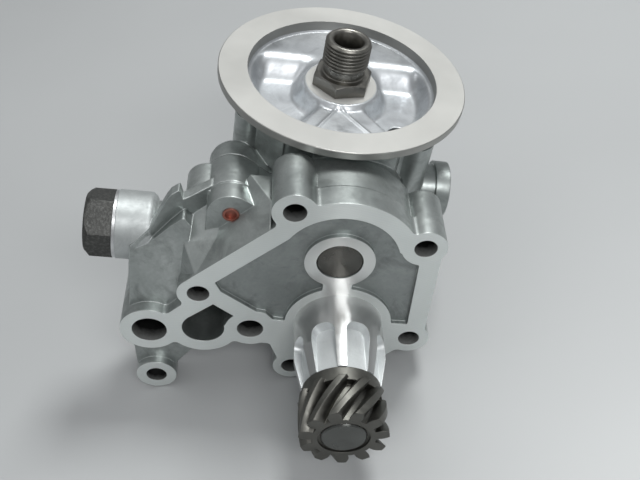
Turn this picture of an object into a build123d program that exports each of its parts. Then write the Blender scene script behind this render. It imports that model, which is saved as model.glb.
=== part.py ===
from build123d import *
from math import acos, cos, pi, radians, sin, sqrt, tan
import os

# Engine oil pump with a spin-on filter head, millimetres.
# Origin: centre of the snout pilot on the gasket face. -Y runs out along the
# drive shaft to the skew gear, +Z is the axis of the filter stud, +X is to the
# right when the gasket face is seen from the gear.

# --- running and fitting clearances ------------------------------------------
shaft_clearance = 0.03          # radial, shafts in bushes
tip_clearance = 0.15            # radial, pump gears in their bores
end_clearance = 0.10            # axial, each side of the pump gears
shoulder_gap = 0.30             # axial, skew gear behind the snout
piston_clearance = 0.05         # radial, relief piston in its bore
bolt_clearance = 0.50           # radial, bolts in their holes
head_gap = 0.80                 # under the filter pad, above the pump housing

# --- gasket face --------------------------------------------------------------
flange_depth = 10.0
pocket_depth = 2.0
mount_hole = 9.0                # clears an M8 stud
big_hole = 11.0                 # clears an M10 stud
upper_left_hole = (-25.4, 61.4)
upper_right_hole = (26.7, 48.4)
lower_right_hole = (31.6, -6.0)
left_hole = (-58.5, 13.0)
port_hole = (-36.0, -6.8)
bottom_hole = (-15.8, -30.3)
foot_hole = (-74.5, -46.9)
upper_left_lug = 8.7
upper_right_lug = 8.5
lower_right_lug = 8.6
left_lug = 8.6
port_lug = 10.2
bottom_lug = 8.2
foot_lug = 8.8
foot_setback = 3.0
foot_depth = 13.0
web_setback = 6.5
web_depth = 8.0
column_depth = 24.0             # the two upper columns, back to their nuts
lug_depth = 14.0
left_hole_depth = 30.0
nut_space = 15.0               # across the corners of an M8 nut
nut_room = 9.5
face_arc = 31.2                 # outside of the land, about the idler
pocket_arc = 23.5               # inside of the land, about the idler

# --- ports in the gasket face ---------------------------------------------------
suction_centre = (-55.5, -8.3)
suction_radius = 8.8
suction_wall = 6.0
suction_depth = 27.0
suction_duct = 10.0
round_port_centre = (-77.6, -11.8)
round_port = 14.5
round_port_wall = 5.0
round_port_depth = 30.0

# --- snout ----------------------------------------------------------------------
pilot = 37.0
pilot_depth = 20.0
snout_length = 33.0
snout_end = 31.6
seal_ring = 22.3                # land round the foot of the snout
flutes = 8
flute_start = 14.0
flute_floor = 14.5              # from the shaft axis to the flat of a flute
rib_width = 3.6
flute_draft = 12.0
flute_corner = 3.2

# --- shafts and gears -------------------------------------------------------------
drive_shaft = 17.5
idler_shaft = 18.4
idler_ring = 13.9
pump_teeth = 10
pump_module = 3.75
pump_pressure_angle = 28.0
pump_backlash = 0.14
gear_width = 21.9
front_wall = 14.5
idler_lean = 7.5                # degrees, line of centres leans to -X
bush_wall = 2.0
snout_bush_length = 24.0
rear_bush_length = 14.0
driven_bush_wall = 1.6
key_width = 5.0
key_height = 5.0
key_end_gap = 3.0

skew_teeth = 11
skew_module = 2.2               # normal module
skew_helix = 36.0
skew_face = 17.0
skew_fullness = 0.7             # the teeth are thicker than the spaces at the pitch circle
skew_shoulder = 31.0
skew_shoulder_length = 4.6
skew_bore_chamfer = 1.2
tooth_end_chamfer = 1.2

# --- housing ----------------------------------------------------------------------
chamber_wall = 5.5
head_gasket_thickness = 0.4
bay_radius = 8.0

# --- relief valve -------------------------------------------------------------------
relief_y = 22.8
relief_z = 26.2
relief_tube = 28.0
relief_tube_end = -92.5
relief_neck = 21.4
relief_neck_x = -77.0
neck_round = 3.5
relief_bore = 14.0
relief_nose_bore = 10.0
relief_seat_x = -50.0
relief_nose_x = -38.0
relief_thread = 18.0
relief_thread_length = 12.0
relief_travel = 7.0
piston_length = 18.0
piston_wall = 1.3
cap_hex = 24.0
cap_head = 11.2
cap_washer = 1.2
shim_thickness = 1.0
spring_wire = 1.5
spring_mean = 8.8
spring_turns = 6

# --- gallery boss and its plug --------------------------------------------------------
gallery_x = -48.3
gallery_z = 46.5
gallery_boss = 18.6
gallery_step = 0.6              # the boss is thicker behind its first band
gallery_band = 8.5
gallery_face = 12.0
gallery_back = 47.0
gallery_end_round = 6.0
gallery_drill = 8.0
gallery_plug = 6.4
plug_length = 6.0

# --- left block ------------------------------------------------------------------------
wall_setback = 5.0              # front wall of the block, at the height of the shaft
wall_lean = 7.4                 # degrees, the wall leans back as it rises
block_back = 26.0
flank_draft = 22.5              # degrees, wall behind the land's upper left edge
flank_depth = 24.0
fin_setback = 7.5               # fin on the block's shoulder, at its left end
fin_skew = 23.5
fin_thickness = 4.5
left_boss = (-47.5, 13.5)
rear_lobe = (-58.2, 42.5)
rear_lobe_front = 20.0

# --- filter head ------------------------------------------------------------------------
filter_x = -6.35
filter_y = 72.6
pad_top = 75.0
pad_thickness = 4.0
pad_outer = 103.6
pad_inner = 79.6
drum = 86.0
drum_bottom = 44.0
recess_floor = 70.0
plateau_floor = 68.3
pocket_floor = 62.0
pocket_inner = 16.5
pocket_outer = 37.4
pocket_draft = 16.0
ramp_y = 89.0
plateau_edge = 56.0             # degrees, both sides of the raised front
cover_plate = 9.0
leg_right = 31.5
leg_bottom = 27.0
delivery_x = 18.0
delivery_y = 52.0
delivery_z = 24.0
delivery_drill = 9.0
return_y = 52.5
return_z = 53.0
column = 14.0
column_x = -42.6
column_y = 53.0
spine_width = 22.0
shaft_boss = 30.0
shaft_boss_depth = 20.0
sender_y = 50.0
sender_z = 36.2
sender_boss = 24.0
sender_face_x = 43.0
sender_rim = 6.0
sender_neck = 21.0
sender_thread = 9.7             # 1/8 pipe thread
sender_depth = 16.0

stud_thread = 19.05             # 3/4-16 UNF
stud_bore = 12.2
stud_hex = 22.2
stud_hex_top = 76.2
stud_neck = 16.8
stud_thread_start = 80.2
stud_top = 91.5
stud_shank = 14.0
boss_top = 70.3

bolt_size = 8.0
bolt_grip = 10.0
bolt_hex = 13.0
bolt_head = 5.5
bolt_flange = 17.0
bolt_flange_thickness = 1.6
bolt_lobe = 8.2
dowel_outer = 12.0
dowel_length = 10.0
bolts = [(24.6, -18.6), (-24.6, -18.6), (28.8, 15.0), (-34.0, 38.5), left_boss]
dowel_bolts = [bolts[1], bolts[4]]

# --- worked out from the sizes above -------------------------------------------------------
centre_distance = pump_module * pump_teeth
idler = (-centre_distance * sin(radians(idler_lean)), centre_distance * cos(radians(idler_lean)))
pump_pitch_radius = pump_module * pump_teeth / 2
pump_tip_radius = pump_pitch_radius + pump_module
chamber_radius = pump_tip_radius + tip_clearance
housing_radius = chamber_radius + chamber_wall
split = front_wall + gear_width + 2 * end_clearance - head_gasket_thickness
plate_front = split + head_gasket_thickness
plate_back = plate_front + cover_plate
skew_back = -snout_length - shoulder_gap
skew_teeth_back = skew_back - skew_shoulder_length
skew_front = skew_teeth_back - skew_face
head_underside = idler[1] + housing_radius + head_gap
relief_cap_inside = relief_tube_end + relief_thread_length
nut_seats = [(upper_left_hole, column_depth), (upper_right_hole, column_depth),
             (lower_right_hole, lug_depth), (bottom_hole, lug_depth)]


def face_plane(y):
    return Plane(origin=(0, y, 0), x_dir=(1, 0, 0), z_dir=(0, -1, 0))


def slab(sketch, front, back):
    """A sketch drawn in (x, z), extruded from y = front to y = back."""
    return extrude(face_plane(front) * sketch, amount=front - back)


def bar_y(x, z, radius, front, back):
    return slab(Pos(x, z) * Circle(radius), front, back)


def bar_x(y, z, radius, left, right):
    plane = Plane(origin=(left, 0, 0), x_dir=(0, 1, 0), z_dir=(1, 0, 0))
    return extrude(plane * (Pos(y, z) * Circle(radius)), amount=right - left)


def bar_z(x, y, radius, bottom, top):
    return extrude(Plane.XY.offset(bottom) * (Pos(x, y) * Circle(radius)), amount=top - bottom)


def patch(*points):
    """A flat polygon through points in (x, z)."""
    return make_face(Polyline(*points, close=True))


def disc(centre, radius):
    return Pos(*centre) * Circle(radius)


def around(*discs):
    """The convex outline round several (centre, radius) discs."""
    rims = []
    for centre, radius in discs:
        rims += disc(centre, radius).edges()
    return make_hull(rims)


def rounded(sketch, radius):
    """The same outline with its inward corners rounded."""
    return offset(offset(sketch, amount=radius), amount=-radius)


# --- gasket face --------------------------------------------------------------

def land_outline():
    outline = around((left_hole, left_lug), ((-25.3, 47.7), left_lug))
    outline += disc(upper_left_hole, upper_left_lug)
    outline += disc(idler, face_arc)
    outline += disc(upper_right_hole, upper_right_lug)
    outline += around(((28.3, 42.0), 5.8), ((31.2, 2.0), 5.8))
    outline += disc(lower_right_hole, lower_right_lug)
    outline += disc(port_hole, port_lug)
    outline += disc(bottom_hole, bottom_lug)
    outline += disc((0, 0), seal_ring + 1.5)
    outline += disc(suction_centre, suction_radius + suction_wall)
    outline += disc(round_port_centre, round_port / 2 + round_port_wall)
    outline += patch(left_hole, (-25.3, 47.7), (-25, 60), (20, 56), (28, 40), (32, 0),
                     (28, -13.5), (21, -22), (0, -22), (-15.8, -37.5), (-22.8, -25),
                     (-27, -15.6), (-36, -15.6), (-52, -8))
    outline += patch(left_hole, (-64.9, 5.4), (-71.0, -1.4), round_port_centre, (-67, -18), (-52, -8))
    return rounded(outline, 2.4)


def pocket_outline():
    outline = patch((-52.3, 20.2), (-20.9, 53.0), (0, 56), (26.1, 39.6), (29.1, 3.0), (21.5, 3.0),
                    (0, 0), (-24.4, -0.2), (-27.2, 0.2), (-30.4, 3.6), (-34.4, 4.4), (-49.7, 15.2))
    outline += disc(idler, pocket_arc)
    outline -= disc(upper_right_hole, upper_right_lug + 0.8)
    outline -= disc((0, 0), seal_ring)
    outline -= disc(idler, idler_ring)
    outline -= patch((-9.2, 15), (-9.8, 30), (1.8, 30), (2.2, 15))
    return offset(offset(outline, amount=-0.9), amount=0.9)


def suction_outline():
    """The heart-shaped mouth of the suction port."""
    mouth = disc(suction_centre, suction_radius)
    mouth += patch((-62.6, -3.0), (-52.2, 7.2), (-43.5, 0.8), (-46.9, -6.0), suction_centre)
    return mouth - disc(port_hole, port_lug + 0.3)


def flute_cutter():
    """One U-shaped pocket, cut towards the axis from outside the snout."""
    width = 2 * (flute_floor * tan(pi / flutes) - rib_width / 2)
    length = snout_length - flute_start + 10
    outline = Pos(0, -length / 2) * Rectangle(width, length)
    upper = outline.vertices().group_by(Axis.Y)[-1]
    outline = fillet(upper, flute_corner)
    plane = Plane(origin=(0, -flute_start, flute_floor), x_dir=(1, 0, 0), z_dir=(0, 0, 1))
    return extrude(plane * outline, amount=pilot / 2, taper=-flute_draft)


def snout():
    profile = Polyline((0, -flange_depth), (pilot / 2, -flange_depth), (pilot / 2, pilot_depth),
                       (snout_end / 2, snout_length), (0, snout_length), close=True)
    body = revolve(Plane(origin=(0, 0, 0), x_dir=(1, 0, 0), z_dir=(0, 0, 1)) * mirror(
        make_face(profile), Plane.XZ), axis=Axis.Y)
    cutter = flute_cutter()
    for count in range(flutes):
        body -= Rot(0, (count + 0.5) * 360 / flutes - idler_lean, 0) * cutter
    return body


# --- pump body ------------------------------------------------------------------

def gear_bores(radius, front, back):
    return bar_y(0, 0, radius, front, back) + bar_y(*idler, radius, front, back)


def housing_outline(grow=0.0):
    outline = around(((0, 0), housing_radius + grow), (idler, housing_radius + grow))
    for centre in bolts[:4]:
        outline += disc(centre, bolt_lobe + grow)
    outline += around(((gallery_x, gallery_z), gallery_boss / 2 + grow), (left_boss, bolt_lobe + grow),
                      (bolts[3], bolt_lobe + grow), ((-24, 30), bolt_lobe + grow))
    outline = rounded(outline, 3.0)
    for centre, depth in nut_seats:
        outline -= disc(centre, nut_space / 2)
    return outline


def in_front(plane):
    """Everything on the outer side of a plane, large enough to trim the block."""
    return extrude(plane * Rectangle(300, 300), amount=120)


def left_block():
    """Block between the ports and the relief bore, its front wall leaning back."""
    outline = patch((-86.2, -12), (-86.3, 26.0), (-79.0, 30.5), (-71.4, 39.0), (-66.0, 44.0),
                    (-63.0, 40), (-64.0, 30), (-66.4, 12), (-62, -12))
    lean = tan(radians(wall_lean))
    wall = Plane(origin=(0, wall_setback, 0), x_dir=(1, 0, 0), z_dir=(0, -1, lean))
    return slab(offset(offset(outline, amount=-1.2), amount=1.2), 0, block_back) - in_front(wall)


def shoulder_fin():
    """Slanting fin that closes the block's shoulder in front of the relief tube."""
    outline = patch((-87.0, 8), (-86.4, 28.9), (-79.3, 35.4), (-73.0, 49.8), (-71.4, 52.2), (-68.3, 53.8),
                    (-67.0, 48.6), (-64.7, 49.2), (-56.7, 52.8), (-50, 52.8), (-50, 8))
    skew = tan(radians(fin_skew))
    front = Plane(origin=(-86.6, fin_setback, 0), x_dir=(1, skew, 0), z_dir=(skew, -1, 0))
    back = Plane(origin=(-86.6, fin_setback + fin_thickness, 0), x_dir=(-1, -skew, 0), z_dir=(-skew, 1, 0))
    fin = slab(offset(offset(outline, amount=-0.7), amount=0.7), 0, split)
    return fin - in_front(front) - in_front(back)


def shoulder():
    """Three facets that close the corner between the block, the fin and the flank."""
    land_end = (-60.2, 0, 23.7)
    crown = (-65.7, 9.2, 32.1)
    outline = patch((-66.7, 10), (-66.9, 43.0), (-63.4, 45.6), (-52, 52), (-50, 46), (-50, 14))
    corner = slab(outline, 0, flank_depth)
    corner -= in_front(Plane(origin=land_end, z_dir=(-171, -125, 24.6)))
    corner -= in_front(Plane(origin=land_end, z_dir=(-41.9, -127.6, 112.3)))
    return corner - in_front(Plane(origin=crown, z_dir=(-38, -81, 106)))


def flank():
    """Drafted wall from the land's upper left edge back to the gallery boss."""
    edge = [(-60.2, 23.7), (-34.7, 50.4)]
    along = (edge[1][0] - edge[0][0], edge[1][1] - edge[0][1])
    length = sqrt(along[0] ** 2 + along[1] ** 2)
    out = (-along[1] / length, along[0] / length)
    outline = patch((-58, 8), (-62, 22), (-41.9, 57.3), (-33.5, 57.3), (-33.5, 44))
    slope = 1 / tan(radians(flank_draft))
    plane = Plane(origin=(edge[0][0], 0, edge[0][1]), x_dir=(along[0], 0, along[1]),
                  z_dir=(out[0] * slope, -1, out[1] * slope))
    return slab(outline, 0, flank_depth) - in_front(plane)


def gallery_outline(grow):
    return around(((gallery_x, gallery_z), gallery_boss / 2 + grow), ((-43.2, 48.4), 5.0 + grow))


def gallery():
    outline = gallery_outline(0)
    boss = slab(outline, gallery_face, split)
    boss += slab(gallery_outline(gallery_step), gallery_face + gallery_band, split)
    half = gallery_boss / 2
    skirt = patch((gallery_x - half, gallery_z), (gallery_x + half, gallery_z),
                  (gallery_x + half, gallery_z - 14), (gallery_x - half, gallery_z - 14))
    return boss + slab(skirt, gallery_face, split)


def foot():
    """Detached lug on a web below the round port."""
    web = patch((-86.4, -14), (-83.2, -44), (-66.4, -42), (-57.5, -27.5), (-54, -12))
    return slab(web, web_setback, web_setback + web_depth) + bar_y(
        *foot_hole, foot_lug, foot_setback, foot_setback + foot_depth)


def drum_front():
    """The slice of the drum wall that is cast on the pump body."""
    slice_top = head_underside - head_gap
    drum_slice = bar_z(filter_x, filter_y, drum / 2, drum_bottom, slice_top)
    return drum_slice - Pos(filter_x, split + 60, slice_top) * Box(140, 120, 140)


def relief_tube_solid():
    tube = bar_x(relief_y, relief_z, relief_tube / 2, relief_tube_end, relief_neck_x)
    rims = tube.edges().filter_by(GeomType.CIRCLE).sort_by(Axis.X)
    tube = fillet(rims[-1], neck_round)
    return tube + bar_x(relief_y, relief_z, relief_neck / 2, relief_neck_x - 5, -36)


def pump_body():
    body = slab(land_outline(), 0, flange_depth)
    body += bar_y(*idler, face_arc - 0.4, 0, column_depth + 2)
    body += slab(around(((0, 0), housing_radius), (idler, housing_radius)), flange_depth / 2, split)
    body += slab(housing_outline(), split - bolt_grip - 2, split)
    body += drum_front()
    body += bar_y(*upper_left_hole, upper_left_lug, 0, column_depth)
    body += bar_y(*upper_right_hole, upper_right_lug, 0, column_depth)
    body += slab(around((upper_left_hole, upper_left_lug - 2), (idler, 12)), flange_depth / 2, column_depth - 4)
    body += slab(around((upper_right_hole, upper_right_lug - 2), (idler, 12)), flange_depth / 2, column_depth - 4)
    body += bar_y(*lower_right_hole, lower_right_lug, 0, lug_depth)
    body += bar_y(*bottom_hole, bottom_lug, 0, lug_depth)
    body += bar_y(*port_hole, port_lug, 0, column_depth)
    body += bar_y(*left_hole, left_lug - 0.8, 0, left_hole_depth)
    body += left_block()
    body += shoulder_fin()
    body += flank()
    body += shoulder()
    body += gallery()
    body += bar_y(*rear_lobe, bolt_lobe, rear_lobe_front, split)
    body += foot()
    body += bar_y(*suction_centre, suction_radius + suction_wall, 0, suction_depth + 5)
    body += bar_y(*round_port_centre, round_port / 2 + round_port_wall, 0, round_port_depth + 4)
    body += slab(around((suction_centre, suction_radius + suction_wall), ((-22, 2), 14)), flange_depth / 2,
                 suction_depth + 5)
    body += relief_tube_solid()
    body += snout()
    body -= slab(pocket_outline(), -1, pocket_depth)
    body -= body_holes()
    return body


def body_holes():
    back = split + 1
    cut = gear_bores(chamber_radius, front_wall, back)
    cut += bar_y(0, 0, drive_shaft / 2 + bush_wall, -snout_length - 1, front_wall + 1)
    cut += bar_y(*idler, idler_shaft / 2, -1, front_wall + 1)
    side = (cos(radians(idler_lean)) * pump_pitch_radius, sin(radians(idler_lean)) * pump_pitch_radius)
    middle = (idler[0] / 2, idler[1] / 2)
    for sign in (-1, 1):
        cut += bar_y(middle[0] + sign * side[0], middle[1] + sign * side[1], bay_radius, front_wall + 3, back)
    for centre, depth in nut_seats:
        cut += bar_y(*centre, mount_hole / 2, -1, depth + 1)
        cut += bar_y(*centre, nut_space / 2, depth, depth + nut_room)
    cut += bar_y(*left_hole, mount_hole / 2, -1, left_hole_depth + 1)
    cut += bar_y(*foot_hole, mount_hole / 2, -1, back)
    cut += bar_y(*port_hole, big_hole / 2, -1, back)
    cut += slab(suction_outline(), -1, suction_depth)
    cut += bar_y(*round_port_centre, round_port / 2, -1, round_port_depth)
    cut += slab(around(((-52, 0), suction_duct / 2), ((-24, 16), suction_duct / 2)), suction_depth - 8, suction_depth)
    cut += bar_y(gallery_x, gallery_z, gallery_drill / 2, gallery_face + plug_length, back)
    cut += bar_y(gallery_x, gallery_z, gallery_plug / 2, gallery_face - 1, gallery_face + plug_length)
    cut += bar_x(relief_y, relief_z, relief_bore / 2, relief_tube_end - 1, relief_seat_x)
    cut += bar_x(relief_y, relief_z, relief_nose_bore / 2, relief_seat_x - 1, relief_nose_x)
    cut += bar_z(gallery_x + 4, relief_y, gallery_drill / 2, relief_z, gallery_z)
    cut += bar_z(relief_seat_x - 8, relief_y, gallery_drill / 2, 0, relief_z)
    cut += bar_x(relief_y, relief_z, relief_thread / 2, relief_tube_end - 1, relief_cap_inside)
    for centre in bolts:
        cut += bar_y(*centre, bolt_size / 2, split - bolt_grip, back)
    for centre in dowel_bolts:
        cut += bar_y(*centre, dowel_outer / 2, split + head_gasket_thickness / 2 - dowel_length / 2, back)
    return cut


# --- filter head ------------------------------------------------------------------

def turned(points):
    """A turned blank about the filter axis from (radius, z) points."""
    profile = make_face(Polyline(*points, close=True))
    blank = revolve(Plane.XZ * profile, axis=Axis.Z)
    return Pos(filter_x, filter_y, 0) * blank


def sector(inner, outer, start, end):
    """Part of a ring about the filter axis, between two angles."""
    reach = outer * 3
    middle = radians((start + end) / 2)
    wedge = patch((0, 0), (reach * cos(radians(start)), reach * sin(radians(start))),
                  (reach * cos(middle), reach * sin(middle)),
                  (reach * cos(radians(end)), reach * sin(radians(end))))
    ring = (Circle(outer) - Circle(inner)) & wedge
    return Pos(filter_x, filter_y) * ring


def bowl():
    underside = pad_top - pad_thickness
    blank = turned([(0, drum_bottom), (drum / 2 - 5, drum_bottom), (drum / 2, drum_bottom + 5),
                    (drum / 2, underside - 2.5), (drum / 2 + 2.5, underside),
                    (pad_outer / 2 - 0.8, underside), (pad_outer / 2, underside + 0.8),
                    (pad_outer / 2, pad_top - 0.3), (pad_outer / 2 - 0.3, pad_top), (0, pad_top)])
    return blank


def bowl_recess():
    recess = turned([(0, recess_floor), (pad_inner / 2 - 1.2, recess_floor),
                     (pad_inner / 2 - 0.4, recess_floor + 0.8), (pad_inner / 2, pad_top + 1), (0, pad_top + 1)])
    recess -= bar_z(filter_x, filter_y, pocket_inner - 1.5, recess_floor - 1, boss_top)
    plateau = Plane.XY.offset(plateau_floor) * sector(pocket_inner - 1.5, pad_inner / 2 - 1.2, 232, 308)
    recess += extrude(plateau, amount=recess_floor - plateau_floor + 0.5)
    return recess + side_pockets()


def side_pockets():
    """Two deep pockets beside the boss; their floors ramp up at the back."""
    lift = recess_floor - pocket_floor
    side = make_face(Polyline((ramp_y - 60, pocket_floor), (ramp_y - lift, pocket_floor), (ramp_y, recess_floor),
                              (ramp_y, recess_floor + 2), (ramp_y - 60, recess_floor + 2), close=True))
    plane = Plane(origin=(filter_x - 60, 0, 0), x_dir=(0, 1, 0), z_dir=(1, 0, 0))
    ramp = extrude(plane * side, amount=120)
    pockets = None
    for start, end in ((118, 180 + plateau_edge), (-plateau_edge, 62)):
        mouth = Plane.XY.offset(recess_floor + 0.5) * offset(
            offset(sector(pocket_inner, pocket_outer, start, end), amount=-3), amount=3)
        pocket = extrude(mouth, amount=-lift - 0.5, taper=pocket_draft) & ramp
        pockets = pocket if pockets is None else pockets + pocket
    return pockets


def plateau_ribs():
    """The two raised lines that spread across the front plateau."""
    apex = (-8.0, 57.5)
    ribs = None
    for foot_point in ((-17.2, 42.5), (4.4, 41.5)):
        dx = foot_point[0] - apex[0]
        dy = foot_point[1] - apex[1]
        length = sqrt(dx * dx + dy * dy)
        side = (-dy / length * 0.8, dx / length * 0.8)
        strip = patch((apex[0] + side[0], apex[1] + side[1]), (foot_point[0] + side[0], foot_point[1] + side[1]),
                      (foot_point[0] - side[0], foot_point[1] - side[1]), (apex[0] - side[0], apex[1] - side[1]))
        rib = extrude(Plane.XY.offset(plateau_floor - 0.5) * strip, amount=1.2)
        ribs = rib if ribs is None else ribs + rib
    return ribs


def right_leg():
    """Leg under the drum that carries the delivery passage and the sender boss."""
    plan = Plane.XY.offset(leg_bottom) * around(((leg_right - 8.5, plate_front + 8.6), 8.5),
                                                ((leg_right - 8.5, 58), 8.5), ((16, 52), 8.5))
    leg = extrude(plan, amount=head_underside - leg_bottom)
    leg += bar_y(delivery_x, delivery_z, delivery_drill / 2 + 4.5, plate_front, delivery_y + 8)
    leg += bar_x(sender_y, sender_z, sender_neck / 2, leg_right - 16, sender_face_x)
    return leg + bar_x(sender_y, sender_z, sender_boss / 2, sender_face_x - sender_rim, sender_face_x)


def left_column():
    """Round column that lifts the gallery from its boss up into the bowl."""
    boss = slab(gallery_outline(gallery_step), plate_front, gallery_back - gallery_end_round)
    crown = slab(gallery_outline(gallery_step), gallery_back - gallery_end_round, gallery_back)
    boss += crown & Pos(gallery_x, gallery_back - gallery_end_round, gallery_z) * Sphere(gallery_boss / 2 + 1)
    return boss + bar_z(column_x, column_y, column / 2, gallery_z - 6, head_underside)


def spine():
    """Gusset from the cover plate to the underside of the drum."""
    side = make_face(Polyline((plate_front, 8), (plate_back, 8), (filter_y + 12, drum_bottom + 2),
                              (filter_y + 12, drum_bottom + 8), (plate_front, drum_bottom + 8), close=True))
    plane = Plane(origin=(filter_x - spine_width / 2, 0, 0), x_dir=(0, 1, 0), z_dir=(1, 0, 0))
    return extrude(plane * side, amount=spine_width)


def head_body():
    """Cover plate, legs and spine under the drum."""
    body = slab(housing_outline(), plate_front, plate_back)
    body += left_column()
    body += right_leg()
    body += spine()
    body += bar_y(0, 0, shaft_boss / 2, plate_front, plate_front + shaft_boss_depth)
    body += bar_y(*idler, shaft_boss / 2, plate_front, plate_front + shaft_boss_depth)
    return body


def oilways():
    """Delivery up the right leg; filtered oil back from the stud to the gallery."""
    ways = bar_y(delivery_x, delivery_z, delivery_drill / 2, plate_front - 1, delivery_y)
    ways += bar_z(delivery_x, delivery_y, delivery_drill / 2, delivery_z, pocket_floor + 1)
    ways += bar_z(filter_x, filter_y, stud_bore / 2, return_z - 4, boss_top)
    ways += bar_y(filter_x, return_z, gallery_drill / 2, return_y, filter_y)
    ways += bar_x(return_y, return_z, gallery_drill / 2, column_x, filter_x)
    ways += bar_z(column_x, return_y, gallery_drill / 2, gallery_z, return_z)
    ways += bar_x(return_y - 4, gallery_z, gallery_drill / 2, gallery_x, column_x)
    return ways


def underside_pockets():
    pockets = None
    for start, end in ((34, 82), (98, 146)):
        floor = Plane.XY.offset(drum_bottom - 1) * offset(
            offset(sector(20, drum / 2 - 5, start, end), amount=-4), amount=4)
        pocket = extrude(floor, amount=recess_floor - 5 - drum_bottom)
        pockets = pocket if pockets is None else pockets + pocket
    return pockets


def filter_head():
    head = bowl()
    head -= Pos(filter_x, plate_front - 60, head_underside - 60) * Box(140, 120, 120)
    head += head_body()
    head -= bowl_recess()
    head += plateau_ribs()
    head -= bar_z(filter_x, filter_y, stud_thread / 2, boss_top - stud_shank, boss_top + 1)
    head -= oilways()
    head -= underside_pockets()
    head -= bar_y(0, 0, drive_shaft / 2 + bush_wall, plate_front - 1, plate_front + rear_bush_length)
    head -= bar_y(*idler, idler_shaft / 2, plate_front - 1, plate_front + rear_bush_length)
    head -= bar_y(gallery_x, gallery_z, gallery_drill / 2, plate_front - 1, return_y - 3)
    head -= bar_x(sender_y, sender_z, sender_thread / 2, sender_face_x - sender_depth, sender_face_x + 1)
    for centre in bolts:
        head -= bar_y(*centre, bolt_size / 2 + bolt_clearance, plate_front - 1, plate_back + 1)
        head -= bar_y(*centre, bolt_flange / 2 + 1, plate_back, plate_back + 30)
    for centre in dowel_bolts:
        head -= bar_y(*centre, dowel_outer / 2, plate_front - 1,
                      split + head_gasket_thickness / 2 + dowel_length / 2)
    return head


def head_gasket():
    sheet = slab(housing_outline(), split, plate_front)
    sheet -= gear_bores(chamber_radius + 0.3, split - 1, plate_front + 1)
    for centre in bolts:
        sheet -= bar_y(*centre, dowel_outer / 2 + 0.3, split - 1, plate_front + 1)
    sheet -= bar_y(gallery_x, gallery_z, gallery_drill / 2, split - 1, plate_front + 1)
    return sheet


# --- fasteners -----------------------------------------------------------------------

def head_bolt(centre):
    seat = plate_back
    x, z = centre
    bolt = bar_y(x, z, bolt_size / 2, split - bolt_grip + 2, seat + 1)
    bolt += bar_y(x, z, bolt_flange / 2, seat, seat + bolt_flange_thickness)
    bolt += slab(Pos(x, z) * RegularPolygon(bolt_hex / 2, 6, major_radius=False), seat,
                 seat + bolt_flange_thickness + bolt_head)
    return bolt


def head_dowel(centre):
    middle = split + head_gasket_thickness / 2
    sleeve = bar_y(*centre, dowel_outer / 2, middle - dowel_length / 2, middle + dowel_length / 2)
    return sleeve - bar_y(*centre, bolt_size / 2 + bolt_clearance, split - 20, split + 20)


def group(pieces):
    return Compound(children=pieces)


# --- gears and shafts --------------------------------------------------------------------

def involute(base, radius):
    """Polar angle of the involute of a base circle at a radius."""
    return sqrt((radius / base) ** 2 - 1) - acos(base / radius)


def polar(radius, angle):
    return (radius * cos(angle), radius * sin(angle))


def gear_face(teeth, pitch, base, root, tip, backlash):
    """Whole gear outline: an arc through the involute on each flank, arcs at tip and root."""
    half = pi / (2 * teeth) - backlash / (2 * pitch) + involute(base, pitch)
    start = max(base, root) * 1.001
    radii = [start, (start + tip) / 2, tip]
    step_angle = 2 * pi / teeth
    lines = []
    for tooth in range(teeth):
        middle = tooth * step_angle
        left = [polar(r, middle - half + involute(base, r)) for r in radii]
        right = [polar(r, middle + half - involute(base, r)) for r in radii]
        foot_angle = half - involute(base, start)
        next_middle = middle + step_angle
        lines.append(ThreePointArc(*left))
        lines.append(ThreePointArc(left[-1], polar(tip, middle), right[-1]))
        lines.append(ThreePointArc(*reversed(right)))
        lines.append(Line(right[0], polar(root, middle + foot_angle)))
        lines.append(ThreePointArc(polar(root, middle + foot_angle), polar(root, middle + step_angle / 2),
                                   polar(root, next_middle - foot_angle)))
        lines.append(Line(polar(root, next_middle - foot_angle), polar(start, next_middle - foot_angle)))
    return make_face(Wire.combine([line.edge() for line in lines])[0])


def pump_gear(centre, turn):
    """A spur pump gear, turned about its own axis by an angle in degrees."""
    base = pump_pitch_radius * cos(radians(pump_pressure_angle))
    root = pump_pitch_radius - 1.25 * pump_module
    outline = gear_face(pump_teeth, pump_pitch_radius, base, root, pump_tip_radius, pump_backlash)
    placed = Pos(*centre) * Rot(0, 0, turn) * outline
    return slab(placed, front_wall + end_clearance, front_wall + end_clearance + gear_width)


line_of_centres = 90 + idler_lean


def key_box(grow, front, back):
    size = key_width + 2 * grow
    return Pos(0, (front + back) / 2, drive_shaft / 2) * Box(size, back - front, key_height + 2 * grow)


def pump_drive_gear():
    gear = pump_gear((0, 0), line_of_centres)
    gear -= bar_y(0, 0, drive_shaft / 2, 0, split + 5)
    return gear - key_box(0, front_wall, split + 5)


def pump_driven_gear():
    gear = pump_gear(idler, line_of_centres + 180 / pump_teeth)
    return gear - bar_y(*idler, idler_shaft / 2 + driven_bush_wall, 0, split + 5)


def driven_gear_bush():
    back = front_wall + end_clearance + gear_width
    bush = bar_y(*idler, idler_shaft / 2 + driven_bush_wall, front_wall + end_clearance, back)
    return bush - bar_y(*idler, idler_shaft / 2 + shaft_clearance, 0, split + 5)


def pump_gear_key():
    front = front_wall + end_clearance + key_end_gap
    return key_box(0, front, front + gear_width - 2 * key_end_gap)


def skew_gear_key():
    return key_box(0, skew_front + key_end_gap, skew_back - key_end_gap)


def drive_shaft_solid():
    back = plate_front + rear_bush_length - 1
    shaft = bar_y(0, 0, drive_shaft / 2, skew_front, back)
    shaft = chamfer(shaft.edges().filter_by(GeomType.CIRCLE), 0.6)
    return shaft - pump_gear_key() - skew_gear_key()


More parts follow.
